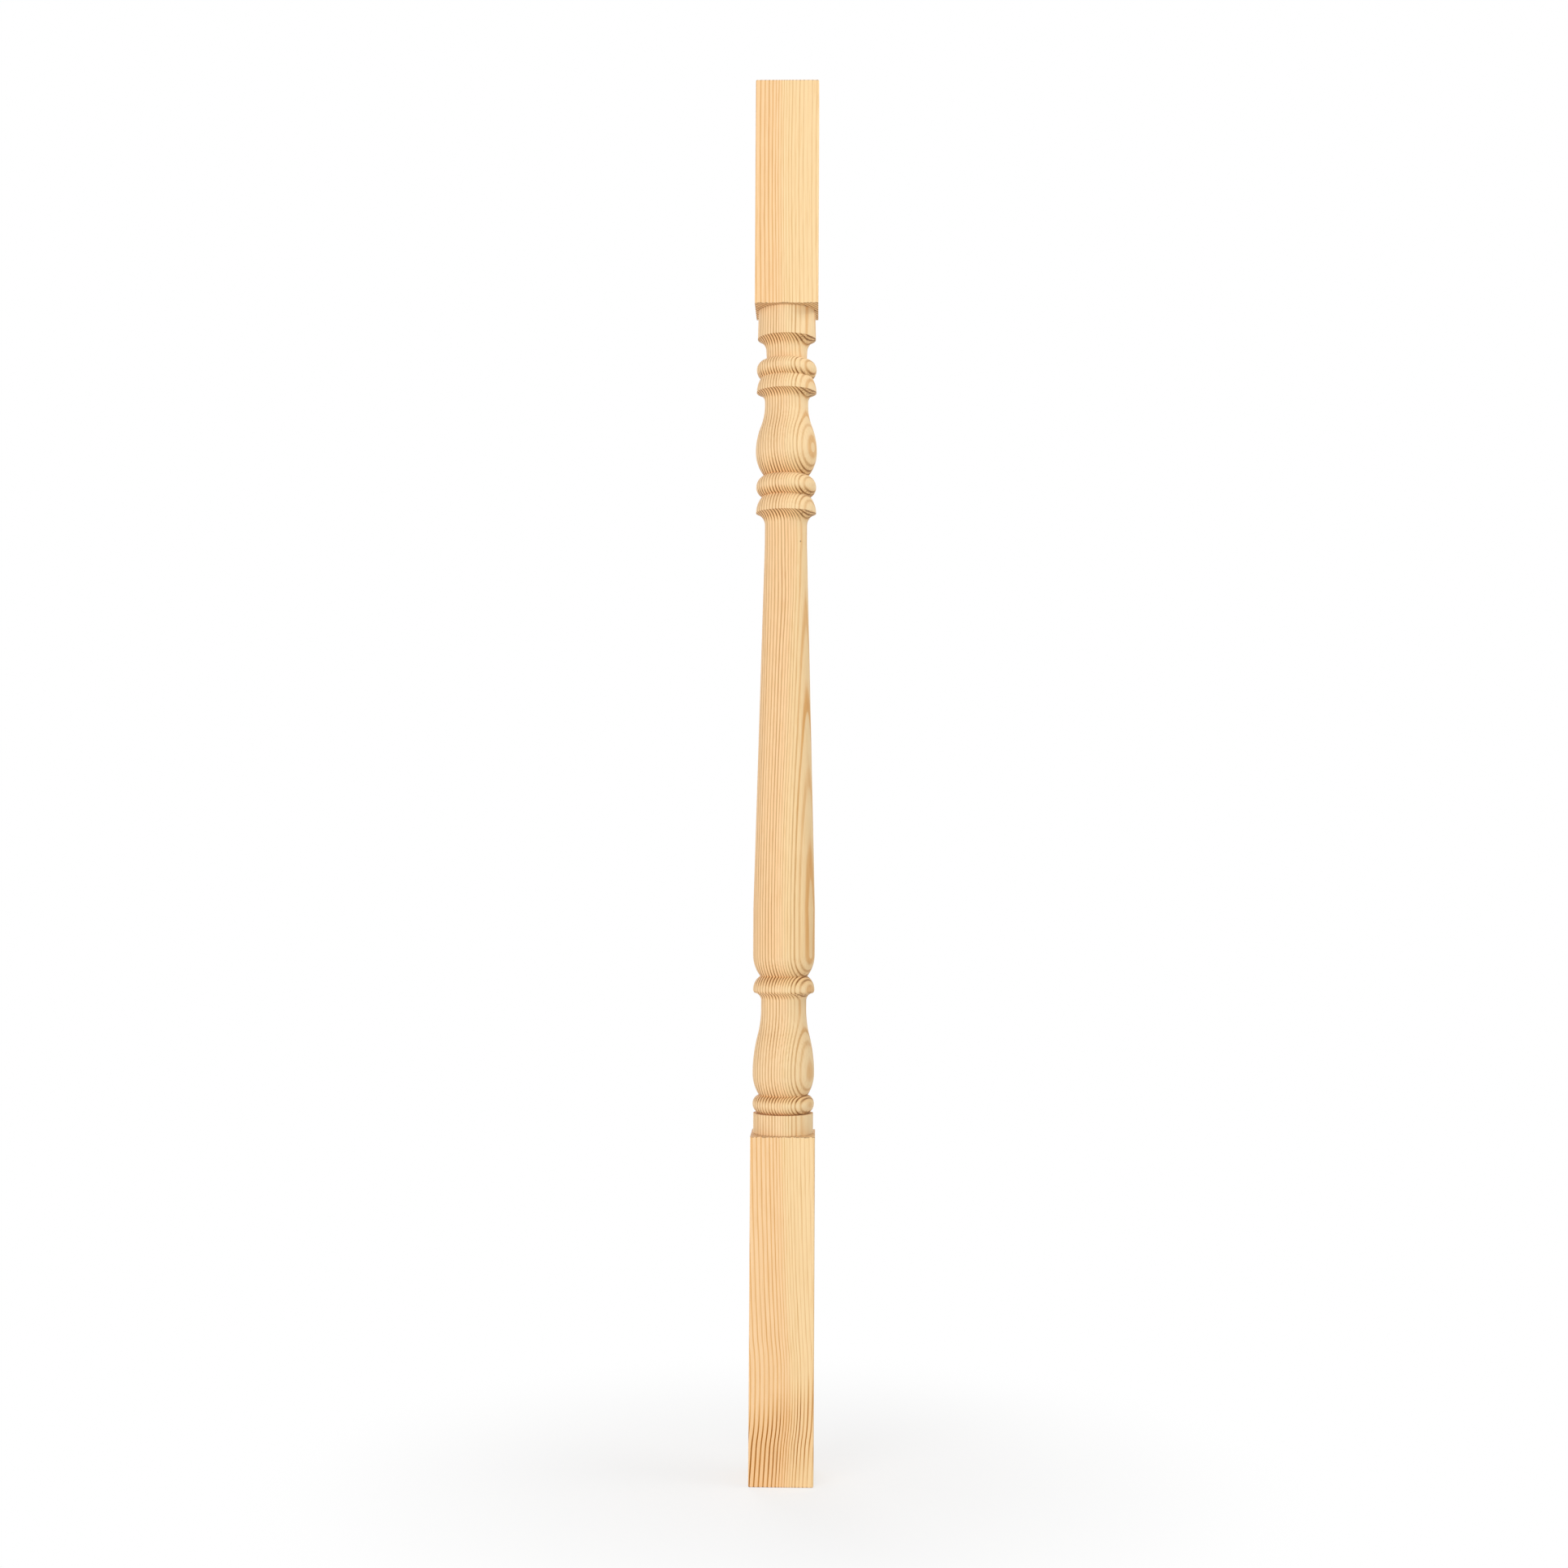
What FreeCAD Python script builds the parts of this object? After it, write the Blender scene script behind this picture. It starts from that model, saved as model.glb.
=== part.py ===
import FreeCAD, Part
import math
import os

import Sketcher

# Turned stair baluster: a square pine blank with a turned middle between a foot block and a head block.
# Millimetres. The origin is the centre of the foot, +Z runs up the length, and the four faces of the
# blocks look along X and Y.
SIZES = {
    # square blank
    "overall_length": 900.0,
    "section_width": 41.0,
    "arris_radius": 0.8,
    "foot_block_length": 219.0,
    "head_block_length": 146.5,
    # collar and bead that stand on the foot block
    "foot_collar_diameter": 38.5,
    "foot_collar_height": 13.0,
    "foot_bead_root_diameter": 32.0,
    "foot_bead_lower_height": 6.0,
    "foot_bead_diameter": 39.5,
    "foot_bead_upper_height": 5.5,
    # lower vase and the neck above it
    "lower_vase_groove_diameter": 31.4,
    "lower_vase_base_height": 14.0,
    "lower_vase_diameter": 39.6,
    "lower_vase_turn_height": 24.1,
    "lower_vase_top_height": 16.9,
    "lower_neck_diameter": 29.1,
    "lower_neck_height": 5.5,
    # ring between the lower neck and the shaft
    "lower_ring_cove_height": 5.0,
    "lower_ring_lip_diameter": 37.9,
    "lower_ring_lip_height": 2.0,
    "lower_ring_diameter": 39.6,
    "lower_ring_upper_height": 8.7,
    # long tapered shaft, whose taper takes up the length that is left
    "shaft_groove_diameter": 30.4,
    "shaft_base_height": 13.8,
    "shaft_diameter": 39.8,
    "shaft_straight_height": 29.4,
    "shaft_top_diameter": 27.5,
    "shaft_top_height": 12.2,
    # ring and bead between the shaft and the upper vase
    "middle_ring_cove_height": 7.9,
    "middle_ring_diameter": 39.2,
    "middle_ring_height": 10.9,
    "middle_groove_diameter": 31.2,
    "middle_bead_lower_height": 6.1,
    "middle_bead_diameter": 39.1,
    "middle_bead_upper_height": 7.6,
    # upper vase and the neck above it
    "upper_vase_groove_diameter": 28.6,
    "upper_vase_base_height": 15.6,
    "upper_vase_diameter": 39.9,
    "upper_vase_turn_height": 16.6,
    "upper_vase_top_height": 14.3,
    "upper_neck_diameter": 28.3,
    "upper_neck_height": 2.0,
    # ring and bead below the head neck
    "upper_ring_cove_height": 6.2,
    "upper_ring_diameter": 39.0,
    "upper_ring_height": 9.4,
    "head_groove_diameter": 34.0,
    "head_bead_lower_height": 5.7,
    "head_bead_diameter": 39.1,
    "head_bead_upper_height": 6.0,
    # head neck and the collar under the head block
    "head_neck_lower_diameter": 26.1,
    "head_neck_height": 6.1,
    "head_neck_upper_diameter": 26.8,
    "head_cove_height": 8.0,
    "head_collar_lip_diameter": 38.0,
    "head_collar_diameter": 37.0,
    "head_collar_height": 18.7,
}

# Stretches of the turned outline from the foot shoulder up to the head shoulder: the kind of stretch,
# the diameter at its upper end and the height it climbs. A round bulges outwards and a cove curves
# inwards. Each is an arc that stands upright at the end its name gives. A line with no climb of its own
# is level, and the taper's climb is whatever the other stretches leave. A round that ends in a turn runs
# smoothly into the cove after it, and that sets the diameter where they meet.
OUTLINE = (
    ("line", "foot_collar_diameter", "foot_collar_height"),
    ("level", "foot_bead_root_diameter", None),
    ("round upright above", "foot_bead_diameter", "foot_bead_lower_height"),
    ("round upright below", "lower_vase_groove_diameter", "foot_bead_upper_height"),
    ("round upright above", "lower_vase_diameter", "lower_vase_base_height"),
    ("round upright below", "turn", "lower_vase_turn_height"),
    ("cove upright above", "lower_neck_diameter", "lower_vase_top_height"),
    ("line", "lower_neck_diameter", "lower_neck_height"),
    ("cove upright below", "lower_ring_lip_diameter", "lower_ring_cove_height"),
    ("round upright above", "lower_ring_diameter", "lower_ring_lip_height"),
    ("round upright below", "shaft_groove_diameter", "lower_ring_upper_height"),
    ("round upright above", "shaft_diameter", "shaft_base_height"),
    ("line", "shaft_diameter", "shaft_straight_height"),
    ("taper", "shaft_top_diameter", None),
    ("line", "shaft_top_diameter", "shaft_top_height"),
    ("cove upright below", "middle_ring_diameter", "middle_ring_cove_height"),
    ("round upright below", "middle_groove_diameter", "middle_ring_height"),
    ("round upright above", "middle_bead_diameter", "middle_bead_lower_height"),
    ("round upright below", "upper_vase_groove_diameter", "middle_bead_upper_height"),
    ("round upright above", "upper_vase_diameter", "upper_vase_base_height"),
    ("round upright below", "turn", "upper_vase_turn_height"),
    ("cove upright above", "upper_neck_diameter", "upper_vase_top_height"),
    ("line", "upper_neck_diameter", "upper_neck_height"),
    ("cove upright below", "upper_ring_diameter", "upper_ring_cove_height"),
    ("round upright below", "head_groove_diameter", "upper_ring_height"),
    ("round upright above", "head_bead_diameter", "head_bead_lower_height"),
    ("round upright below", "head_neck_lower_diameter", "head_bead_upper_height"),
    ("line", "head_neck_upper_diameter", "head_neck_height"),
    ("cove upright below", "head_collar_lip_diameter", "head_cove_height"),
    ("line", "head_collar_diameter", "head_collar_height"),
)

# Places on a piece of sketch geometry, and the sketch's own origin.
START, END, CENTRE = 1, 2, 3
ORIGIN = (-1, 1)


def make_sheet(doc):
    """Spreadsheet that holds every driving size under its own name."""
    sheet = doc.addObject("Spreadsheet::Sheet", "sizes")
    for row, (name, value) in enumerate(SIZES.items(), start=1):
        sheet.set(f"A{row}", name)
        sheet.set(f"B{row}", str(value))
        sheet.setAlias(f"B{row}", name)
    doc.recompute()


def make_sketch(body, name, plane_role):
    """Empty sketch on one of the body's own origin planes."""
    plane = next(feature for feature in body.Origin.OriginFeatures if feature.Role == plane_role)
    sketch = body.newObject("Sketcher::SketchObject", name)
    sketch.AttachmentSupport = [(plane, "")]
    sketch.MapMode = "FlatFace"
    return sketch


def constrain(sketch, *definition):
    """Adds one geometric constraint."""
    sketch.addConstraint(Sketcher.Constraint(*definition))


def measure(sketch, expression, *definition):
    """Adds one dimension and binds it to the sheet."""
    index = sketch.addConstraint(Sketcher.Constraint(*definition))
    sketch.setExpression(f"Constraints[{index}]", expression)


def make_blank(doc, body):
    """Square blank at its full length, with every arris slightly eased."""
    sketch = make_sketch(body, "BlankSection", "XY_Plane")
    half = SIZES["section_width"] / 2
    corners = [FreeCAD.Vector(x, y) for x, y in ((-half, -half), (half, -half), (half, half), (-half, half))]
    for i, corner in enumerate(corners):
        sketch.addGeometry(Part.LineSegment(corner, corners[(i + 1) % 4]))
    for i in range(4):
        constrain(sketch, "Coincident", i, END, (i + 1) % 4, START)
        constrain(sketch, "Horizontal" if i % 2 == 0 else "Vertical", i)
    constrain(sketch, "Symmetric", 0, START, 2, START, *ORIGIN)
    constrain(sketch, "Equal", 0, 1)
    measure(sketch, "sizes.section_width", "DistanceX", 0, START, 0, END, SIZES["section_width"])

    blank = body.newObject("PartDesign::Pad", "Blank")
    blank.Profile = sketch
    blank.setExpression("Length", "sizes.overall_length")
    doc.recompute()

    easing = body.newObject("PartDesign::Fillet", "EasedArrises")
    easing.Base = (blank, [f"Edge{i + 1}" for i in range(len(blank.Shape.Edges))])
    easing.setExpression("Radius", "sizes.arris_radius")
    doc.recompute()
    return easing


def climb_of(kind, climb):
    """Height that a stretch of the outline climbs. The taper gets what the others leave."""
    if climb:
        return SIZES[climb]
    if kind == "level":
        return 0.0
    turned_length = SIZES["overall_length"] - SIZES["foot_block_length"] - SIZES["head_block_length"]
    return turned_length - sum(SIZES[other] for _, _, other in OUTLINE if other)


def outline_points():
    """Radius and height where the stretches of the outline meet, from the foot shoulder upwards."""
    points = [(SIZES["foot_collar_diameter"] / 2, SIZES["foot_block_length"])]
    for i, (kind, diameter, climb) in enumerate(OUTLINE):
        radius, height = points[-1]
        rise = climb_of(kind, climb)
        if diameter == "turn":
            _, next_diameter, next_climb = OUTLINE[i + 1]
            share = rise / (rise + SIZES[next_climb])
            points.append((radius + share * (SIZES[next_diameter] / 2 - radius), height + rise))
        else:
            points.append((SIZES[diameter] / 2, height + rise))
    return points


def upright_arc(kind, low, high):
    """Arc between two points whose centre is level with the end at which it stands upright."""
    upright, other = (high, low) if kind.endswith("above") else (low, high)
    reach = abs(upright[0] - other[0])
    rise = high[1] - low[1]
    radius = (reach * reach + rise * rise) / (2 * reach)
    bulges = kind.startswith("round")
    centre = FreeCAD.Vector(upright[0] + (-radius if bulges else radius), upright[1])
    first, last = (low, high) if bulges else (high, low)
    angles = [math.atan2(point[1] - centre.y, point[0] - centre.x) for point in (first, last)]
    if angles[1] < angles[0]:
        angles[1] += 2 * math.pi
    return Part.ArcOfCircle(Part.Circle(centre, FreeCAD.Vector(0, 0, 1), radius), *angles)


def draw_stretch(sketch, kind, low, high):
    """Draws one stretch of the outline and returns it with its lower and upper end."""
    if not kind.startswith(("round", "cove")):
        return sketch.addGeometry(Part.LineSegment(FreeCAD.Vector(*low), FreeCAD.Vector(*high))), START, END
    piece = sketch.addGeometry(upright_arc(kind, low, high))
    below, above = (START, END) if kind.startswith("round") else (END, START)
    constrain(sketch, "Horizontal", piece, CENTRE, piece, above if kind.endswith("above") else below)
    return piece, below, above


def draw_outline(sketch, points):
    """Draws the turned outline from shoulder to shoulder and returns its lower and upper end."""
    foot_end = head_end = None
    turning_over = False
    for (kind, diameter, climb), low, high in zip(OUTLINE, points, points[1:]):
        piece, below, above = draw_stretch(sketch, kind, low, high)
        if foot_end is None:
            foot_end = (piece, below)
            measure(sketch, "sizes.foot_collar_diameter / 2", "DistanceX", *ORIGIN, *foot_end, low[0])
            measure(sketch, "sizes.foot_block_length", "DistanceY", *ORIGIN, *foot_end, low[1])
        else:
            constrain(sketch, "Tangent" if turning_over else "Coincident", *head_end, piece, below)
        if diameter != "turn":
            measure(sketch, f"sizes.{diameter} / 2", "DistanceX", *ORIGIN, piece, above, high[0])
        if climb:
            measure(sketch, f"sizes.{climb}", "DistanceY", piece, below, piece, above, high[1] - low[1])
        elif kind == "level":
            constrain(sketch, "Horizontal", piece)
        head_end = (piece, above)
        turning_over = diameter == "turn"
    head_height = "sizes.overall_length - sizes.head_block_length"
    measure(sketch, head_height, "DistanceY", *ORIGIN, *head_end, points[-1][1])
    return foot_end, head_end


def close_outline(sketch, foot, head, foot_end, head_end):
    """Closes the outline along both shoulders and well outside the corners of the blank."""
    reach = SIZES["section_width"]
    corners = [FreeCAD.Vector(x, y) for x, y in (head, (reach, head[1]), (reach, foot[1]), foot)]
    sides = [Part.LineSegment(a, b) for a, b in zip(corners, corners[1:])]
    head_shoulder, outside, foot_shoulder = [sketch.addGeometry(side) for side in sides]
    constrain(sketch, "Coincident", *head_end, head_shoulder, START)
    constrain(sketch, "Coincident", head_shoulder, END, outside, START)
    constrain(sketch, "Coincident", outside, END, foot_shoulder, START)
    constrain(sketch, "Coincident", foot_shoulder, END, *foot_end)
    constrain(sketch, "Horizontal", head_shoulder)
    constrain(sketch, "Vertical", outside)
    constrain(sketch, "Horizontal", foot_shoulder)
    measure(sketch, "sizes.section_width", "DistanceX", *ORIGIN, outside, START, reach)


def make_turning(doc, body):
    """Takes everything outside the turned outline off the blank, between the two shoulders."""
    sketch = make_sketch(body, "TurnedOutline", "XZ_Plane")
    points = outline_points()
    foot_end, head_end = draw_outline(sketch, points)
    close_outline(sketch, points[0], points[-1], foot_end, head_end)

    turning = body.newObject("PartDesign::Groove", "Turning")
    turning.Profile = sketch
    turning.ReferenceAxis = (sketch, ["V_Axis"])
    turning.Angle = 360
    doc.recompute()
    return turning


def check(doc, body, blank, turning):
    """Stops if any feature failed, or if the turning took nothing off the blank."""
    failed = [item.Name for item in doc.Objects if {"Invalid", "Error"} & set(item.State)]
    if failed:
        raise RuntimeError(f"features failed: {', '.join(failed)}")
    if body.Shape.isNull() or not body.Shape.isValid() or len(body.Shape.Solids) != 1:
        raise RuntimeError("the baluster is not one valid solid")
    if turning.Shape.Volume >= blank.Shape.Volume:
        raise RuntimeError("the turning took nothing off the blank")


doc = FreeCAD.newDocument("stair_baluster")
make_sheet(doc)
body = doc.addObject("PartDesign::Body", "Baluster")
body.Label = "baluster"
body.Placement = FreeCAD.Placement()
blank = make_blank(doc, body)
turning = make_turning(doc, body)
check(doc, body, blank, turning)

os.makedirs("parts", exist_ok=True)
body.Shape.exportStep(f"parts/{body.Label}.step")
box = body.Shape.optimalBoundingBox(False, False)
size = f"{box.XLength:.3f} x {box.YLength:.3f} x {box.ZLength:.3f} mm"
print(f"{body.Label}: {size}, {body.Shape.Volume:.1f} mm3")
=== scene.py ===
"""A turned pine stair baluster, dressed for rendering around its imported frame."""
import math
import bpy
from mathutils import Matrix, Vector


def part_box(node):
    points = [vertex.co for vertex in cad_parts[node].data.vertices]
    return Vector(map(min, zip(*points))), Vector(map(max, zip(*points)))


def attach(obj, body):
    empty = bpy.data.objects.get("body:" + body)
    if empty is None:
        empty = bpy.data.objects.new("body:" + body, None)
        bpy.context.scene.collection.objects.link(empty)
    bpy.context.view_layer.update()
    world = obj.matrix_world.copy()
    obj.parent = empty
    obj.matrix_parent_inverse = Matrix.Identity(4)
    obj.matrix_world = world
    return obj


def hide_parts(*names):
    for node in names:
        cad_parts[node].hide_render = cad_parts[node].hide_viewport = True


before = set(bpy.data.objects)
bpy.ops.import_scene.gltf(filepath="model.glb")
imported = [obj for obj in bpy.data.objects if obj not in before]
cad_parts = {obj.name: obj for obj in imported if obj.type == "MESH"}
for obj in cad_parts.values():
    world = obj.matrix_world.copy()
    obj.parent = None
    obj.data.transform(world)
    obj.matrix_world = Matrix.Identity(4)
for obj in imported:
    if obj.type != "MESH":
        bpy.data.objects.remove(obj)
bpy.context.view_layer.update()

from types import SimpleNamespace

import bpy
from mathutils import Color, Matrix, Vector

# The part's sizes are in millimetres, and Blender's are in metres.
MM = 0.001

# The square blank, whose width and length come from the frame.
NODE_LOW, NODE_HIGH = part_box("baluster")
SECTION_WIDTH = (NODE_HIGH.x - NODE_LOW.x) / MM
OVERALL_LENGTH = (NODE_HIGH.z - NODE_LOW.z) / MM
ARRIS_RADIUS = 0.8
FOOT_BLOCK_LENGTH = 219.0
HEAD_BLOCK_LENGTH = 146.5

# Stretches of the turned outline, from the foot shoulder up to the head shoulder: what it is, its form,
# the diameter at its upper end and the height that it climbs. An arc stands upright at the end its form
# names. A turn is where two arcs of a vase run into each other, and a climb of REST is what is left over.
TURN = None
REST = None
OUTLINE = (
    ("foot collar", "line", 38.5, 13.0),
    ("foot bead root", "line", 32.0, 0.0),
    ("foot bead lower half", "upright above", 39.5, 6.0),
    ("foot bead upper half", "upright below", 31.4, 5.5),
    ("lower vase base", "upright above", 39.6, 14.0),
    ("lower vase body", "upright below", TURN, 24.1),
    ("lower vase throat", "upright above", 29.1, 16.9),
    ("lower neck", "line", 29.1, 5.5),
    ("lower ring cove", "upright below", 37.9, 5.0),
    ("lower ring lip", "upright above", 39.6, 2.0),
    ("lower ring top", "upright below", 30.4, 8.7),
    ("shaft base", "upright above", 39.8, 13.8),
    ("shaft straight", "line", 39.8, 29.4),
    ("shaft taper", "line", 27.5, REST),
    ("shaft top", "line", 27.5, 12.2),
    ("middle ring cove", "upright below", 39.2, 7.9),
    ("middle ring", "upright below", 31.2, 10.9),
    ("middle bead lower half", "upright above", 39.1, 6.1),
    ("middle bead upper half", "upright below", 28.6, 7.6),
    ("upper vase base", "upright above", 39.9, 15.6),
    ("upper vase body", "upright below", TURN, 16.6),
    ("upper vase throat", "upright above", 28.3, 14.3),
    ("upper neck", "line", 28.3, 2.0),
    ("upper ring cove", "upright below", 39.0, 6.2),
    ("upper ring", "upright below", 34.0, 9.4),
    ("head bead lower half", "upright above", 39.1, 5.7),
    ("head bead upper half", "upright below", 26.1, 6.0),
    ("head neck", "line", 26.8, 6.1),
    ("head cove", "upright below", 38.0, 8.0),
    ("head collar", "line", 37.0, 18.7),
)

# How finely the mesh is divided: columns from the middle of one side to the middle of the next, of which
# some go round the corner, the longest step along an arc and along a straight run, and the fewest on an arc.
QUARTERS = 4
QUARTER_COLUMNS = 32
CORNER_COLUMNS = 6
FLAT_COLUMNS = (QUARTER_COLUMNS - CORNER_COLUMNS) // 2
COLUMNS = QUARTERS * QUARTER_COLUMNS
ARC_STEP = 0.8
LINE_STEP = 6.0
LEAST_ARC_STEPS = 6

# Steps round the arris of a sawn end, how far round they start, and the angle past which an edge stays sharp.
ARRIS_STEPS = 4
ARRIS_START = math.pi / 16
SHARP_ANGLE = math.radians(35)

# The surface map has two strips side by side, the lower half of the baluster and the upper half, with the
# two sawn ends above them. Plain runs get fewer pixels to the millimetre than beads and vases.
MAP_NAME = "OFBake"
MAP_HALF = 0.5
MAP_STRIP_TOP = 0.86
MAP_GAP = 0.004
MAP_END_SIDE = 0.12
MAP_PLAIN_SHARE = 0.45

# The camera, fitted to the photograph.
CAMERA_PLACE = Vector((0.02534, -1.3145, 0.38519))
CAMERA_PITCH = math.radians(2.55)
CAMERA_YAW = math.radians(1.125)
CAMERA_ROLL = math.radians(0.28)
CAMERA_LENS = 46.6
SENSOR_WIDTH = 36.0


def arc(start, end, form):
    """Points after start up to end, each (radius, height), on an arc that stands upright at one of them."""
    level, other = (end, start) if form == "upright above" else (start, end)
    reach = other[0] - level[0]
    rise = other[1] - level[1]
    bend = (reach * reach + rise * rise) / (2 * reach)
    swing = math.atan2(abs(rise / bend), 1 - reach / bend)
    steps = max(LEAST_ARC_STEPS, math.ceil(abs(bend) * swing / ARC_STEP))
    points = []
    for step in range(1, steps + 1):
        share = step / steps
        angle = swing * (1 - share if form == "upright above" else share)
        radius = level[0] + bend * (1 - math.cos(angle))
        height = level[1] + math.copysign(abs(bend) * math.sin(angle), rise)
        points.append((radius, height))
    return points


def line(start, end):
    """Points after start up to end, each (radius, height), on a straight run."""
    steps = max(1, math.ceil(math.dist(start, end) / LINE_STEP))
    points = []
    for step in range(1, steps + 1):
        share = step / steps
        points.append(tuple(a + (b - a) * share for a, b in zip(start, end)))
    return points


def turn_diameter(index, crown):
    """Diameter where a vase's body runs smoothly into its throat: on the chord from its crown to its neck."""
    body_climb = OUTLINE[index][3]
    _, _, neck, throat_climb = OUTLINE[index + 1]
    return crown + (neck - crown) * body_climb / (body_climb + throat_climb)


def turned_outline():
    """The turned outline as (radius, height, plain) points, where plain marks a step along a straight run."""
    head_shoulder = OVERALL_LENGTH - HEAD_BLOCK_LENGTH
    stated = sum(climb for *_, climb in OUTLINE if climb is not REST)
    rest = head_shoulder - FOOT_BLOCK_LENGTH - stated
    first_diameter = OUTLINE[0][2]
    place = (first_diameter / 2, FOOT_BLOCK_LENGTH)
    points = [(*place, False)]
    for index, (_, form, diameter, climb) in enumerate(OUTLINE):
        if diameter is TURN:
            diameter = turn_diameter(index, 2 * place[0])
        height = place[1] + (rest if climb is REST else climb)
        end = (diameter / 2, height)
        plain = form == "line"
        for point in line(place, end) if plain else arc(place, end, form):
            points.append((*point, plain))
        place = end
    return points


def block_row(height, corner_radius=ARRIS_RADIUS):
    """A row of points round a square block with such corners, from the middle of its back."""
    flat = SECTION_WIDTH / 2 - ARRIS_RADIUS
    side = flat + corner_radius
    quarter = []
    for column in range(QUARTER_COLUMNS):
        if column < FLAT_COLUMNS:
            quarter.append((side, flat * column / FLAT_COLUMNS))
        elif column <= FLAT_COLUMNS + CORNER_COLUMNS:
            angle = math.pi / 2 * (column - FLAT_COLUMNS) / CORNER_COLUMNS
            quarter.append((flat + corner_radius * math.cos(angle), flat + corner_radius * math.sin(angle)))
        else:
            quarter.append((flat * (QUARTER_COLUMNS - column) / FLAT_COLUMNS, side))
    row = []
    for turns in range(1, QUARTERS + 1):
        across = Matrix.Rotation(math.pi / 2 * turns, 2)
        for point in quarter:
            row.append((*(across @ Vector(point)), height))
    return row


def round_row(radius, height):
    """A row of points round the turned part, from the middle of its back."""
    row = []
    for column in range(COLUMNS):
        angle = math.pi / 2 + 2 * math.pi * column / COLUMNS
        row.append((radius * math.cos(angle), radius * math.sin(angle), height))
    return row


def end_rows(end, direction):
    """Rows that round a block's arris, from its sawn end inwards."""
    rows = []
    for step in range(ARRIS_STEPS + 1):
        angle = ARRIS_START + (math.pi / 2 - ARRIS_START) * step / ARRIS_STEPS
        depth = ARRIS_RADIUS * (1 - math.cos(angle) / math.cos(ARRIS_START))
        rows.append((block_row(end + direction * depth, ARRIS_RADIUS * math.sin(angle)), False))
    return rows


def baluster_rows():
    """All rows of the baluster from its foot to its head, each with a mark for a plain run below it."""
    rows = end_rows(0.0, 1)
    for _, height in line((0.0, ARRIS_RADIUS), (0.0, FOOT_BLOCK_LENGTH)):
        rows.append((block_row(height), True))
    for radius, height, plain in turned_outline():
        rows.append((round_row(radius, height), plain))
    head_shoulder = OVERALL_LENGTH - HEAD_BLOCK_LENGTH
    rows.append((block_row(head_shoulder), False))
    for _, height in line((0.0, head_shoulder), (0.0, OVERALL_LENGTH - ARRIS_RADIUS)):
        rows.append((block_row(height), True))
    rows.extend(reversed(end_rows(OVERALL_LENGTH, -1)[:-1]))
    return rows


def around(row):
    """How far round its row each column lies, from 0 to 1, with the first column again at the end."""
    lengths = [math.dist(row[column - 1], row[column]) for column in range(1, COLUMNS)]
    lengths.append(math.dist(row[-1], row[0]))
    total = sum(lengths)
    places = [0.0]
    for length in lengths:
        places.append(places[-1] + length / total)
    return places


def along(rows):
    """How far up the surface each row lies, with plain runs shortened."""
    places = [0.0]
    for (below, _), (above, plain) in zip(rows, rows[1:]):
        share = MAP_PLAIN_SHARE if plain else 1.0
        places.append(places[-1] + share * math.dist(below[0], above[0]))
    return places


def surface_map(rows):
    """Map places of every side face's corners, in the order of the faces."""
    heights = along(rows)
    strip_length = heights[-1] / 2
    split = min(range(len(heights)), key=lambda row: abs(heights[row] - strip_length))
    longest = max(heights[split], heights[-1] - heights[split])
    strip_width = MAP_HALF - 2 * MAP_GAP
    turns = [around(row) for row, _ in rows]

    def place(row, column, upper):
        u = MAP_GAP + MAP_HALF * upper + strip_width * turns[row][column]
        v = MAP_GAP + MAP_STRIP_TOP * (heights[row] - upper * heights[split]) / longest
        return u, v

    places = []
    for row in range(len(rows) - 1):
        upper = row >= split
        for column in range(COLUMNS):
            places.append(place(row, column, upper))
            places.append(place(row, column + 1, upper))
            places.append(place(row + 1, column + 1, upper))
            places.append(place(row + 1, column, upper))
    return places


def end_map(row, left):
    """Map places of a sawn end's corners."""
    low = MAP_STRIP_TOP + 2 * MAP_GAP
    places = []
    for x, y, _ in row:
        u = left + MAP_GAP + MAP_END_SIDE * (x / SECTION_WIDTH + 0.5)
        v = low + MAP_END_SIDE * (y / SECTION_WIDTH + 0.5)
        places.append((u, v))
    return places


def make_baluster():
    """The baluster as one closed mesh."""
    rows = baluster_rows()
    points = [Vector(point) * MM for row, _ in rows for point in row]
    faces = []
    for row in range(len(rows) - 1):
        below, above = row * COLUMNS, (row + 1) * COLUMNS
        for column in range(COLUMNS):
            after = (column + 1) % COLUMNS
            faces.append((below + column, below + after, above + after, above + column))
    last = (len(rows) - 1) * COLUMNS
    foot_end = list(reversed(range(COLUMNS)))
    faces.append(foot_end)
    faces.append([last + column for column in range(COLUMNS)])
    mesh = bpy.data.meshes.new("turned_baluster")
    mesh.from_pydata(points, [], faces)
    mesh.shade_smooth()
    mesh.set_sharp_from_angle(angle=SHARP_ANGLE)
    places = surface_map(rows)
    places += reversed(end_map(rows[0][0], 0.0))
    places += end_map(rows[-1][0], MAP_HALF)
    layer = mesh.uv_layers.new(name=MAP_NAME)
    layer.uv.foreach_set("vector", [number for place in places for number in place])
    piece = bpy.data.objects.new("turned_baluster", mesh)
    bpy.context.scene.collection.objects.link(piece)
    return piece


# Pine. Its growth rings are nearly flat sheets that stand upright in the blank. They are counted along a line
# that points to the right and front, away from the heart of the tree, and they crowd together on the way.
RING_ANGLE = math.radians(28)
RING_NORMAL = (math.cos(RING_ANGLE), -math.sin(RING_ANGLE), 0.0)
HEART_DISTANCE = 180.0
RING_SPACING = 2.4
RING_CROWDING = 0.324
CROWDED_AT = 10.14
CROWDED_WIDTH = 5.3
RING_OFFSET = 0.267

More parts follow.
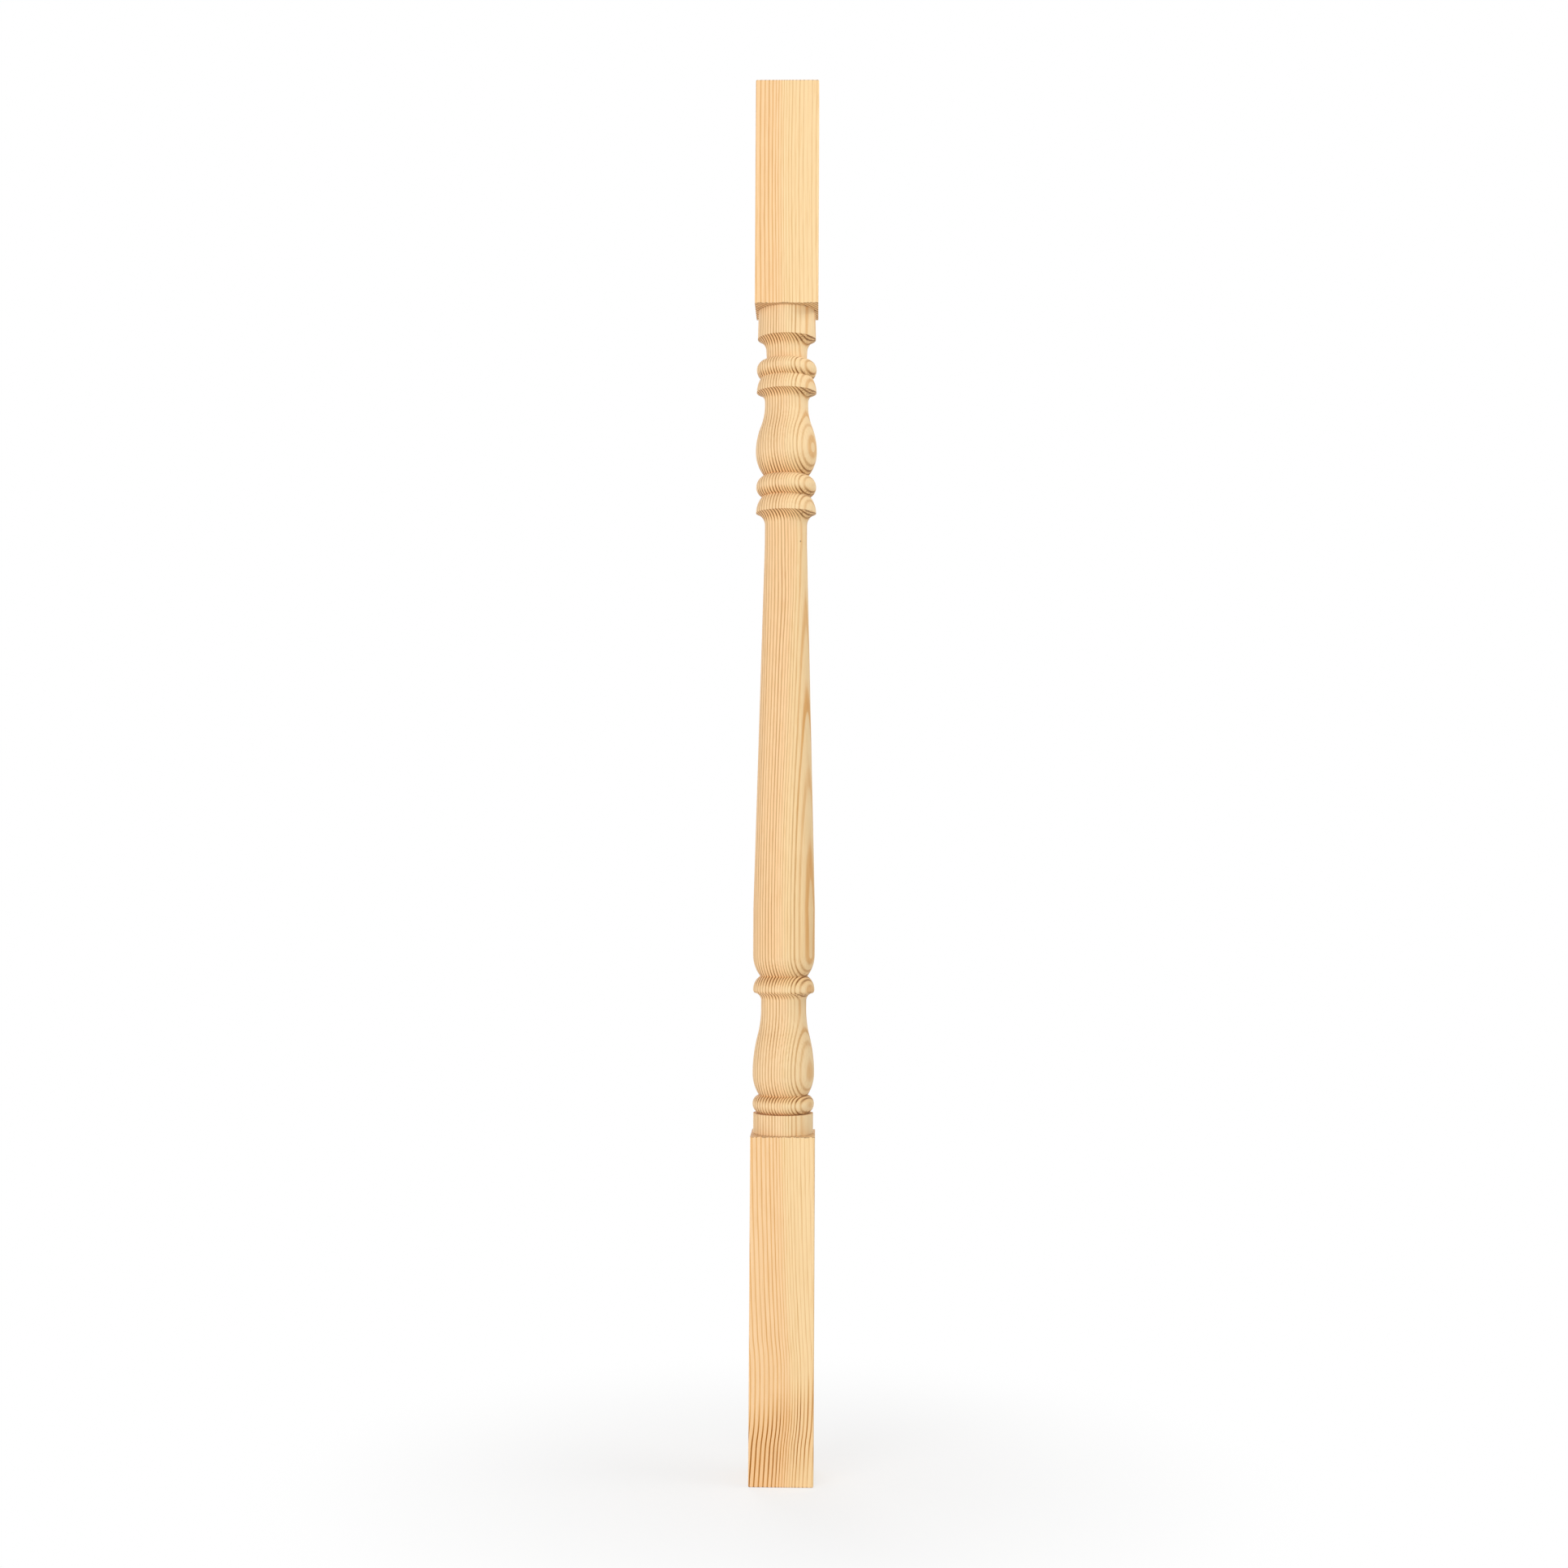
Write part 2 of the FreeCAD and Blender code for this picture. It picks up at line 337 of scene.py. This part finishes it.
# How far the rings wander outwards up the length, as (height, shift), and the range that the shifts lie in.
RING_DRIFT = (
    (0, 2.9),
    (24, 4.1),
    (60, 5.9),
    (96, 4.45),
    (140, 2.75),
    (220, 0.95),
    (300, 0.45),
    (355, 0.24),
    (400, 0.02),
    (480, 1.02),
    (562, 1.4),
    (612, 1.2),
    (655, 0.45),
    (700, -0.75),
    (770, -1.5),
    (825, -2.1),
    (900, -1.85),
)
DRIFT_LOW, DRIFT_HIGH = -5.0, 10.0

# How a hidden knot pushes the rings outwards, close by and more widely on its heart side, and how the rings
# ripple.
KNOT_HEIGHT = 562.0
SWIRL_PLACE = 6.0
SWIRL_SHIFT = 0.6
SWIRL_REACH = 22.0
SWIRL_WIDTH = 5.0
LIFT_SHIFT = 0.8
LIFT_REACH = 65.0
LIFT_EDGE = (8.0, 13.0)
RIPPLE_SHIFT = 0.5
RIPPLE_WAVES = (0.06, 0.06, 0.015)

# How dark the wood is through one year's ring, from the pale wood of spring to the dark edge of autumn. A
# planed cut shows the dark wood thinner, and end grain and a cut along the rings show it wider.
RING_PROFILE = (
    (0.0, 0.55),
    (0.1, 0.08),
    (0.2, 0.0),
    (0.52, 0.02),
    (0.66, 0.28),
    (0.82, 0.95),
    (0.92, 1.0),
    (1.0, 0.55),
)
PLANED_THINNING = 1.0
END_GRAIN_WIDENING = 0.3
FACE_ON_WIDENING = 0.15

# How strong a year's ring is: a least strength, a number of its own from 0 to 1, and a slow change along the
# grain. Rings that lie close are stronger on a planed face.
RING_SEED = 26055.0
LEAST_STRENGTH = 0.5
SLOW_CHANGE = 1.2
CLOSE_RINGS_BOOST = 0.35

# How much of its orange and its brown the autumn wood of a middling year shows in each kind of cut. A planed
# face shows more orange nearer the heart, and a cut along the rings shows orange flames, most on the shaft.
PLANED_ORANGE = 0.27
PLANED_ORANGE_INNER = 0.4
INNER_DEPTHS = (7.0, 13.0)
TURNED_ORANGE = 0.14
FACE_ON_ORANGE = 0.54
FACE_ON_ORANGE_OFF_SHAFT = 0.33
PLANED_BROWN = 0.13
TURNED_BROWN = 0.53
FACE_ON_BROWN = 0.12
END_GRAIN_BROWN = 0.45
FIBRE_BROWN = 0.4

# The kinds of cut. A cut runs along the rings where it faces them squarely, and it shows end grain where it
# leans. It counts as a block's from just outside the shoulder.
FACE_ON = (0.62, 0.99)
END_GRAIN_LEAN = (0.05, 0.66)
SHOULDER_MARGIN = 0.02

# Painted shade: turned cuts that face the middle of the length, near the camera's height, get more of the end
# grain's darkening than those that face its ends, and these get less of it above the shaft than below.
MIDDLE_HEIGHT = 390.0
FACING_MIDDLE = (-0.5, 0.1)
FACING_FOOT_SHARE = 0.7
FACING_HEAD_SHARE = 0.32

# The turned work above and below the shaft is a little paler: where the change is, and how much.
SHAFT_FOOT = (315.0, 345.0)
SHAFT_HEAD = (600.0, 625.0)
PALE_SHARE = 0.28

# The spring wood is pinker nearer the heart, up to a depth that wanders along the grain.
PINK_DEPTHS = (10.0, 15.0)
PINK_WANDER = 6.0

# The slanting band just above the foot where the autumn wood is wide and brown: the heights where it starts,
# is full, fades and ends, how strong it is, and how red at least. Pink wood is stronger and redder there.
STRESS_HEIGHTS = (-14.0, 24.0, 36.0, 66.0)
STRESS_SLANT = 0.6
STRESSED_SHARE = 0.56
STRESSED_SHARE_PINK = 0.15
LEAST_REDDENING = 0.4

# The fibres' fine streaks and slow changes, in waves a millimetre, and where a streak shows.
FINE_WAVES = (2.6, 2.6, 0.05)
FINE_DETAIL = 3.0
SLOW_WAVES = (0.3, 0.3, 0.007)
STREAK_EDGE = (0.42, 0.78)

# Fibres torn out of the lips: how squarely a lip faces the rings there, how far it hangs over, and how patchy
# and dark it is. The limit is just over one, so that a level cut divides by more than nothing.
LIP_FACING = (0.7, 0.92)
LIP_LEAN = (0.35, 0.75)
LIP_WAVES = (0.8, 0.8, 0.8)
LIP_DETAIL = 3.0
LIP_EDGE = (0.48, 0.6)
LIP_SHARE = 0.6
LEAN_LIMIT = 1.001

# The torn edge of a shoulder: how unevenly it reaches into its block, how soft its border is, and how dark
# it is.
TORN_WAVES = (0.7, 0.7, 0.1)
TORN_DETAIL = 4.0
TORN_SPREAD = 2.2
TORN_SET_BACK = 0.66
TORN_EDGE = (0.0, 0.25)
TORN_SHARE = 0.7

# The dark inside corners where the collars meet the shoulders: painted shade, and torn fibres.
CORNER_REACH = 0.8
CORNER_SHARE = 0.4

# One small dark speck near the top of the shaft.
SPECK_PLACE = (9.7, -9.75, 600.5)
SPECK_EDGE = (0.3, 0.8)
SPECK_SHARE = 0.8

# How much the wood shines, its soft glow where it turns away, and how rough it is, less so where it is brown.
GLOSS = 0.22
SHEEN = 0.06
ROUGHNESS = 0.68
BROWN_SMOOTHING = 0.12

# The surface's relief: brown wood stands proud, and fine fibres and torn places lie low.
BROWN_RELIEF = 0.6
FINE_RELIEF = -0.5
TORN_RELIEF = -0.8
BUMP_STRENGTH = 0.25
BUMP_DEPTH = 0.2


def tint(red, green, blue):
    """A colour given as 0 to 255 on a screen, as the linear colour that a shader takes."""
    linear = Color((red / 255, green / 255, blue / 255)).from_srgb_to_scene_linear()
    return (*linear, 1.0)


# The wood's colours, and the shades that darken end grain and streaks by a share of each colour.
EARLYWOOD_YELLOW = tint(252, 220, 169)
EARLYWOOD_PINK = tint(252, 213, 164)
EARLYWOOD_PALE = tint(252, 228, 186)
LATEWOOD_ORANGE = tint(238, 181, 111)
LATEWOOD_BROWN = tint(190, 139, 80)
STRESSED_PINK = tint(250, 206, 153)
STRESSED_ORANGE = tint(236, 170, 82)
STRESSED_BROWN = tint(160, 96, 8)
END_BROWN = tint(138, 84, 16)
# The brown of torn fibres and the speck, which also paints shade in the inside corners.
TORN_AND_SHADE_BROWN = tint(142, 100, 58)
# END_SHADE darkens real end grain, and on turned cuts also paints shade by the way they face.
END_SHADE = (0.98, 0.89, 0.76, 1.0)
FIBRE_SHADE = (0.92, 0.84, 0.72, 1.0)


class Graph:
    """A node tree, with short ways to add and join its nodes."""

    def __init__(self, tree):
        self.tree = tree
        tree.nodes.clear()

    def add(self, kind, inputs=None, **settings):
        """A new node with its settings, and with values or other nodes' outputs on its inputs."""
        node = self.tree.nodes.new("ShaderNode" + kind)
        for name, value in settings.items():
            setattr(node, name, value)
        for name, value in (inputs or {}).items():
            if isinstance(value, bpy.types.NodeSocket):
                self.tree.links.new(value, node.inputs[name])
            else:
                node.inputs[name].default_value = value
        return node

    def math(self, operation, *values):
        """The result of one operation on one to three values."""
        return self.add("Math", dict(enumerate(values)), operation=operation).outputs[0]

    def total(self, *values):
        """The sum of several values."""
        result = values[0]
        for value in values[1:]:
            result = self.math("ADD", result, value)
        return result

    def product(self, *values):
        """The product of several values."""
        result = values[0]
        for value in values[1:]:
            result = self.math("MULTIPLY", result, value)
        return result

    def rest(self, share):
        """What a share leaves of 1."""
        return self.math("SUBTRACT", 1.0, share)

    def between(self, share, first, second):
        """A number between two numbers."""
        return self.math("MULTIPLY_ADD", share, second - first, first)

    def swing(self, share, spread):
        """A number from half the spread below 0 to half of it above, as the share goes from 0 to 1."""
        return self.between(share, -spread / 2, spread / 2)

    def bell(self, *values):
        """A bell curve, which is 1 where all values are 0."""
        squares = [self.math("MULTIPLY", value, value) for value in values]
        return self.math("EXPONENT", self.math("MULTIPLY", self.total(*squares), -1.0))

    def smooth(self, value, low, high, to_low=0.0, to_high=1.0):
        """A smooth step from one value to another as the input goes from low to high."""
        inputs = {"Value": value, "From Min": low, "From Max": high, "To Min": to_low, "To Max": to_high}
        return self.add("MapRange", inputs, interpolation_type="SMOOTHSTEP").outputs[0]

    def clamp(self, value):
        """A value kept from 0 to 1."""
        return self.add("Clamp", {0: value}).outputs[0]

    def mix(self, share, first, second, blend="MIX"):
        """A colour between two colours."""
        inputs = {"Factor": share, "A": first, "B": second}
        return self.add("Mix", inputs, data_type="RGBA", blend_type=blend).outputs["Result"]

    def curve(self, value, points):
        """A smooth curve through (input, output) points that lie between 0 and 1."""
        node = self.add("FloatCurve", {"Value": value})
        knots = node.mapping.curves[0].points
        for index, point in enumerate(points):
            knot = knots[index] if index < len(knots) else knots.new(*point)
            knot.location = point
        node.mapping.update()
        return node.outputs[0]

    def noise(self, place, waves, detail=2.0):
        """Smooth noise from 0 to 1, with so many waves a millimetre along x, y and z."""
        stretched = self.add("VectorMath", {0: place, 1: waves}, operation="MULTIPLY").outputs[0]
        return self.add("TexNoise", {"Vector": stretched, "Scale": 1.0, "Detail": detail}).outputs[0]


def ring_shift(graph, outward, height):
    """How far outwards the rings have wandered, with the push of the knot."""
    span = DRIFT_HIGH - DRIFT_LOW
    knots = [(level / OVERALL_LENGTH, (shift - DRIFT_LOW) / span) for level, shift in RING_DRIFT]
    wander = graph.curve(graph.math("DIVIDE", height, OVERALL_LENGTH), knots)
    drift = graph.between(wander, DRIFT_LOW, DRIFT_HIGH)
    above = graph.math("SUBTRACT", height, KNOT_HEIGHT)
    near = graph.math("DIVIDE", above, SWIRL_REACH)
    beside = graph.math("DIVIDE", graph.math("SUBTRACT", outward, SWIRL_PLACE), SWIRL_WIDTH)
    swirl = graph.math("MULTIPLY", graph.bell(near, beside), SWIRL_SHIFT)
    reach = graph.math("DIVIDE", above, LIFT_REACH)
    heart_side = graph.smooth(outward, *LIFT_EDGE, LIFT_SHIFT, 0.0)
    lift = graph.math("MULTIPLY", graph.bell(reach), heart_side)
    return graph.total(drift, swirl, lift)


def ring_count(graph, place):
    """How many rings lie between the heart side and a place, how deep it is, and how close its rings are."""
    x, y, z = graph.add("SeparateXYZ", {0: place}).outputs
    outward = graph.total(
        graph.math("MULTIPLY", x, math.cos(RING_ANGLE)),
        graph.math("MULTIPLY", y, -math.sin(RING_ANGLE)),
    )
    sideways = graph.total(
        graph.math("MULTIPLY", x, math.sin(RING_ANGLE)),
        graph.math("MULTIPLY", y, math.cos(RING_ANGLE)),
    )
    bulge = graph.math("DIVIDE", graph.math("MULTIPLY", sideways, sideways), 2 * HEART_DISTANCE)
    ripple = graph.swing(graph.noise(place, RIPPLE_WAVES), RIPPLE_SHIFT)
    depth = graph.math("SUBTRACT", graph.total(outward, bulge, ripple), ring_shift(graph, outward, z))
    past_crowd = graph.math("DIVIDE", graph.math("SUBTRACT", depth, CROWDED_AT), CROWDED_WIDTH)
    crowded = graph.math("TANH", past_crowd)
    count = graph.total(
        graph.math("DIVIDE", depth, RING_SPACING),
        graph.math("MULTIPLY", crowded, RING_CROWDING * CROWDED_WIDTH),
        RING_OFFSET,
    )
    closeness = graph.rest(graph.math("MULTIPLY", crowded, crowded))
    return count, depth, closeness


def read_cut(graph):
    """The place of each surface point in millimetres, its kind of cut, and painted shade on turned end grain.
    """
    coordinates = graph.add("TexCoord").outputs
    normal = coordinates["Normal"]
    place = graph.add("VectorMath", {0: coordinates["Object"], "Scale": 1 / MM}, operation="SCALE").outputs[0]
    across, _, height = graph.add("SeparateXYZ", {0: place}).outputs
    _, _, lean = graph.add("SeparateXYZ", {0: normal}).outputs
    into_foot = graph.math("SUBTRACT", FOOT_BLOCK_LENGTH, height)
    into_head = graph.math("SUBTRACT", height, OVERALL_LENGTH - HEAD_BLOCK_LENGTH)
    into_block = graph.math("MAXIMUM", into_foot, into_head)
    in_block = graph.math("GREATER_THAN", into_block, -SHOULDER_MARGIN)

    # Painted shade: turned end grain is darkened in full where it faces the middle of the length, less where
    # it faces the ends.
    middle_way = graph.math("SIGN", graph.math("SUBTRACT", MIDDLE_HEIGHT, height))
    to_middle = graph.math("MULTIPLY", lean, middle_way)
    facing_ends = graph.smooth(height, SHAFT_FOOT[1], SHAFT_HEAD[0], FACING_FOOT_SHARE, FACING_HEAD_SHARE)
    turned_grain_and_shade = graph.smooth(to_middle, *FACING_MIDDLE, facing_ends, 1.0)
    leaning = graph.smooth(graph.math("ABSOLUTE", lean), *END_GRAIN_LEAN)
    # Real end grain where the cut leans, and on turned cuts also painted shade by the way they face.
    end_grain_and_shade = graph.math("MULTIPLY", leaning, graph.math("MAXIMUM", in_block, turned_grain_and_shade))

    planed = graph.math("MULTIPLY", in_block, graph.rest(end_grain_and_shade))
    against_rings = graph.add("VectorMath", {0: normal, 1: RING_NORMAL}, operation="DOT_PRODUCT")
    squareness = graph.math("ABSOLUTE", against_rings.outputs["Value"])
    below_shaft = graph.smooth(height, *SHAFT_FOOT, 1.0, 0.0)
    above_shaft = graph.smooth(height, *SHAFT_HEAD)
    return SimpleNamespace(
        place=place,
        across=across,
        height=height,
        lean=lean,
        into_block=into_block,
        in_block=in_block,
        end_grain_and_shade=end_grain_and_shade,
        planed=planed,
        turned=graph.rest(planed),
        squareness=squareness,
        face_on=graph.smooth(squareness, *FACE_ON),
        off_shaft=graph.math("ADD", below_shaft, above_shaft),
    )


def read_rings(graph, cut, fine):
    """How pink, how stressed, how orange and how brown the rings are at each point of a cut."""
    count, depth, closeness = ring_count(graph, cut.place)
    slow = graph.noise(cut.place, SLOW_WAVES)
    year = graph.math("ADD", graph.math("FLOOR", count), RING_SEED)
    own_strength = graph.add("TexWhiteNoise", {"W": year}, noise_dimensions="1D").outputs[0]
    strength = graph.total(own_strength, LEAST_STRENGTH, graph.swing(slow, SLOW_CHANGE))
    planed_strength = graph.math("MULTIPLY_ADD", closeness, CLOSE_RINGS_BOOST, strength)

    pink_depth = graph.math("MULTIPLY_ADD", slow, PINK_WANDER, depth)
    pinkness = graph.smooth(pink_depth, *PINK_DEPTHS, 1.0, 0.0)
    slanted = graph.math("MULTIPLY_ADD", cut.across, -STRESS_SLANT, cut.height)
    stress_start = graph.smooth(slanted, *STRESS_HEIGHTS[:2])
    stress_end = graph.smooth(slanted, *STRESS_HEIGHTS[2:], 1.0, 0.0)
    stress = graph.math("MULTIPLY", stress_start, stress_end)
    stressed_share = graph.math("MULTIPLY_ADD", pinkness, STRESSED_SHARE_PINK, STRESSED_SHARE)
    stressed = graph.product(stress, strength, stressed_share)

    inner = graph.smooth(depth, *INNER_DEPTHS, 1.0, 0.0)
    planed_orange = graph.math("MULTIPLY_ADD", inner, PLANED_ORANGE_INNER, PLANED_ORANGE)
    flames = graph.between(cut.off_shaft, FACE_ON_ORANGE, FACE_ON_ORANGE_OFF_SHAFT)
    turned_orange = graph.math("MULTIPLY_ADD", cut.face_on, flames, TURNED_ORANGE)
    orange = graph.total(
        graph.product(cut.planed, planed_orange, planed_strength),
        graph.product(cut.turned, turned_orange, strength),
        stressed,
    )
    turned_brown = graph.between(cut.face_on, TURNED_BROWN, FACE_ON_BROWN)
    brown = graph.total(
        graph.product(cut.planed, PLANED_BROWN, planed_strength),
        graph.product(cut.turned, turned_brown, strength),
        # Darker lines on end grain, on turned cuts partly painted shade by the way they face.
        graph.math("MULTIPLY", cut.end_grain_and_shade, END_GRAIN_BROWN),
        stressed,
        graph.swing(fine, FIBRE_BROWN),
    )
    thinness = graph.total(
        graph.math("MULTIPLY", cut.planed, PLANED_THINNING),
        graph.math("MULTIPLY", cut.end_grain_and_shade, -END_GRAIN_WIDENING),
        graph.math("MULTIPLY", cut.face_on, -FACE_ON_WIDENING),
        1.0,
    )
    profile = graph.curve(graph.math("FRACT", count), RING_PROFILE)
    darkness = graph.math("POWER", profile, thinness)
    return SimpleNamespace(
        pinkness=pinkness,
        stress=stress,
        orange=graph.clamp(graph.math("MULTIPLY", darkness, orange)),
        brown=graph.clamp(graph.math("MULTIPLY", darkness, brown)),
    )


def wood_colour(graph, cut, rings, fine):
    """The colour of whole wood: spring wood, autumn wood on it, darker end grain with painted shade, and fine
    streaks.
    """
    early = graph.mix(rings.pinkness, EARLYWOOD_YELLOW, EARLYWOOD_PINK)
    early = graph.mix(graph.product(cut.turned, cut.off_shaft, PALE_SHARE), early, EARLYWOOD_PALE)
    reddening = graph.math("MULTIPLY", rings.stress, graph.between(rings.pinkness, LEAST_REDDENING, 1.0))
    early = graph.mix(reddening, early, STRESSED_PINK)
    orange = graph.mix(rings.stress, LATEWOOD_ORANGE, STRESSED_ORANGE)
    brown = graph.mix(rings.stress, LATEWOOD_BROWN, STRESSED_BROWN)
    # End grain's lines and tone are darker, and on turned cuts this is partly painted shade by the way they
    # face.
    brown = graph.mix(cut.end_grain_and_shade, brown, END_BROWN)
    colour = graph.mix(rings.orange, early, orange)
    colour = graph.mix(rings.brown, colour, brown)
    colour = graph.mix(cut.end_grain_and_shade, colour, END_SHADE, "MULTIPLY")
    return graph.mix(graph.smooth(fine, *STREAK_EDGE), colour, FIBRE_SHADE, "MULTIPLY")


def torn_lips(graph, cut):
    """Where fibres are torn out of the lips, because the tool cuts against the grain."""
    patches = graph.smooth(graph.noise(cut.place, LIP_WAVES, LIP_DETAIL), *LIP_EDGE)
    lean_square = graph.math("MULTIPLY", cut.lean, cut.lean)
    upright = graph.math("SQRT", graph.math("SUBTRACT", LEAN_LIMIT, lean_square))
    facing = graph.math("DIVIDE", cut.squareness, upright)
    underside = graph.smooth(graph.math("MULTIPLY", cut.lean, -1.0), *LIP_LEAN)
    return graph.product(patches, underside, graph.smooth(facing, *LIP_FACING))


def torn_shoulders(graph, cut):
    """Where the turning tool has torn the planed faces at the two shoulders."""
    unevenness = graph.noise(cut.place, TORN_WAVES, TORN_DETAIL)
    reach = graph.math("MULTIPLY_ADD", unevenness, TORN_SPREAD, -TORN_SET_BACK)
    torn = graph.smooth(graph.math("SUBTRACT", reach, cut.into_block), *TORN_EDGE)
    return graph.math("MULTIPLY", torn, cut.planed)


def inside_corners(graph, cut):
    """Where a collar comes close to its shoulder: painted shade in the inside corner, with torn fibres."""
    closeness = graph.smooth(cut.into_block, -CORNER_REACH, 0.0)
    return graph.math("MULTIPLY", closeness, graph.rest(cut.in_block))


def small_speck(graph, cut):
    """Where the one small speck is."""
    away = graph.add("VectorMath", {0: cut.place, 1: SPECK_PLACE}, operation="DISTANCE").outputs["Value"]
    return graph.smooth(away, *SPECK_EDGE, 1.0, 0.0)


def make_pine():
    """Bare pine, with its rings, its fibres, darker end grain, torn places and painted shade in inside
    corners.
    """
    material = bpy.data.materials.new("pine")
    material.use_nodes = True
    graph = Graph(material.node_tree)
    cut = read_cut(graph)
    fine = graph.noise(cut.place, FINE_WAVES, FINE_DETAIL)
    rings = read_rings(graph, cut, fine)
    lips = torn_lips(graph, cut)
    shoulders = torn_shoulders(graph, cut)
    dark_places = (
        (lips, LIP_SHARE),
        (small_speck(graph, cut), SPECK_SHARE),
        (shoulders, TORN_SHARE),
        (inside_corners(graph, cut), CORNER_SHARE),
    )
    colour = wood_colour(graph, cut, rings, fine)
    # Torn places, the speck and the painted shade of the inside corners, all in one brown.
    for where, share in dark_places:
        colour = graph.mix(graph.math("MULTIPLY", where, share), colour, TORN_AND_SHADE_BROWN)
    roughness = graph.math("MULTIPLY_ADD", rings.brown, -BROWN_SMOOTHING, ROUGHNESS)
    relief = graph.total(
        graph.math("MULTIPLY", rings.brown, BROWN_RELIEF),
        graph.math("MULTIPLY", fine, FINE_RELIEF),
        graph.math("MULTIPLY", graph.math("MAXIMUM", shoulders, lips), TORN_RELIEF),
    )
    depth = BUMP_DEPTH * MM
    bump = graph.add("Bump", {"Strength": BUMP_STRENGTH, "Distance": depth, "Height": relief}).outputs[0]
    shader = graph.add(
        "BsdfPrincipled",
        {
            "Base Color": colour,
            "Roughness": roughness,
            "Normal": bump,
            "Specular IOR Level": GLOSS,
            "Sheen Weight": SHEEN,
        },
    )
    graph.add("OutputMaterial", {"Surface": shader.outputs[0]})
    return material


# The stage: a pale floor that fades into a white background. Near the foot it shows a share of its shadow,
# which is gone at the end of the reach.
FLOOR_RADIUS = 4.0
FLOOR_SIDES = 96
FLOOR_COLOUR = (0.93, 0.93, 0.93, 1.0)
SHADOW_REACH = (0.05, 0.35)
SHADOW_SHARE = 0.35
WHITE = (1.0, 1.0, 1.0, 1.0)

# Even light from all round, and soft round lamps, each with its name, place, width and power in watts. They
# point at the middle of the foot.
SKY_STRENGTH = 0.5
LIGHT_AIM = Vector((0.0, 0.0, 0.0))
LIGHTS = (
    ("key", (-1.11, -1.92, 0.86), 1.7, 18.7),
    ("front", (0.15, -2.0, 0.42), 0.8, 3.6),
    ("fill", (0.5, -0.1, 1.1), 0.4, 1.8),
    ("back", (-0.6, 2.2, 1.3), 1.6, 14.0),
)


def seen_directly(graph):
    """1 for a ray from the camera, or one that a glossy or clear surface sends on, and 0 for the rest."""
    path = graph.add("LightPath").outputs
    seen = graph.math("MAXIMUM", path["Is Camera Ray"], path["Is Glossy Ray"])
    return graph.math("MAXIMUM", seen, path["Is Transmission Ray"])


def make_floor():
    """A pale floor that keeps the shadow near the foot and is plain white further off."""
    material = bpy.data.materials.new("floor")
    material.use_nodes = True
    graph = Graph(material.node_tree)
    place = graph.add("TexCoord").outputs["Object"]
    distance = graph.add("VectorMath", {0: place}, operation="LENGTH").outputs["Value"]
    far = graph.smooth(distance, *SHADOW_REACH, 1.0 - SHADOW_SHARE, 1.0)
    pale = graph.add("BsdfDiffuse", {"Color": FLOOR_COLOUR}).outputs[0]
    white = graph.add("Emission", {"Color": WHITE, "Strength": 1.0}).outputs[0]
    share = graph.math("MULTIPLY", far, seen_directly(graph))
    surface = graph.add("MixShader", {0: share, 1: pale, 2: white}).outputs[0]
    graph.add("OutputMaterial", {"Surface": surface})

    points = []
    for side in range(FLOOR_SIDES):
        angle = 2 * math.pi * side / FLOOR_SIDES
        points.append((FLOOR_RADIUS * math.cos(angle), FLOOR_RADIUS * math.sin(angle), 0.0))
    mesh = bpy.data.meshes.new("floor")
    mesh.from_pydata(points, [], [range(FLOOR_SIDES)])
    mesh.materials.append(material)
    floor = bpy.data.objects.new("floor", mesh)
    bpy.context.scene.collection.objects.link(floor)


def make_sky():
    """Even white light from all round, with a white background."""
    world = bpy.data.worlds.new("studio")
    world.use_nodes = True
    graph = Graph(world.node_tree)
    light = graph.add("Background", {"Color": WHITE, "Strength": SKY_STRENGTH}).outputs[0]
    white = graph.add("Background", {"Color": WHITE, "Strength": 1.0}).outputs[0]
    surface = graph.add("MixShader", {0: seen_directly(graph), 1: light, 2: white}).outputs[0]
    graph.add("OutputWorld", {"Surface": surface})
    bpy.context.scene.world = world


def make_lights():
    """Soft lamps in front of the baluster, on its right and behind it."""
    for name, place, size, power in LIGHTS:
        lamp = bpy.data.lights.new(name, "AREA")
        lamp.shape = "DISK"
        lamp.size = size
        lamp.energy = power
        light = bpy.data.objects.new(name, lamp)
        light.location = place
        light.rotation_euler = (LIGHT_AIM - Vector(place)).to_track_quat("-Z", "Y").to_euler()
        bpy.context.scene.collection.objects.link(light)


def make_camera():
    """The camera at the photograph's place and angle."""
    right = Vector((math.cos(CAMERA_YAW), math.sin(CAMERA_YAW), 0.0))
    level = math.cos(CAMERA_PITCH)
    forward = Vector((-math.sin(CAMERA_YAW) * level, math.cos(CAMERA_YAW) * level, math.sin(CAMERA_PITCH)))
    up = right.cross(forward)
    turned_right = math.cos(CAMERA_ROLL) * right + math.sin(CAMERA_ROLL) * up
    turned_up = math.cos(CAMERA_ROLL) * up - math.sin(CAMERA_ROLL) * right
    lens = bpy.data.cameras.new("camera")
    lens.sensor_width = SENSOR_WIDTH
    lens.lens = CAMERA_LENS
    camera = bpy.data.objects.new("camera", lens)
    axes = Matrix((turned_right, turned_up, -forward)).transposed()
    camera.matrix_world = Matrix.Translation(CAMERA_PLACE) @ axes.to_4x4()
    bpy.context.scene.collection.objects.link(camera)
    bpy.context.scene.camera = camera


baluster = make_baluster()
baluster.data.materials.append(make_pine())
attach(baluster, "root")
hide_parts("baluster")
make_floor()
make_sky()
make_lights()
make_camera()
bpy.context.scene.view_settings.view_transform = "Standard"
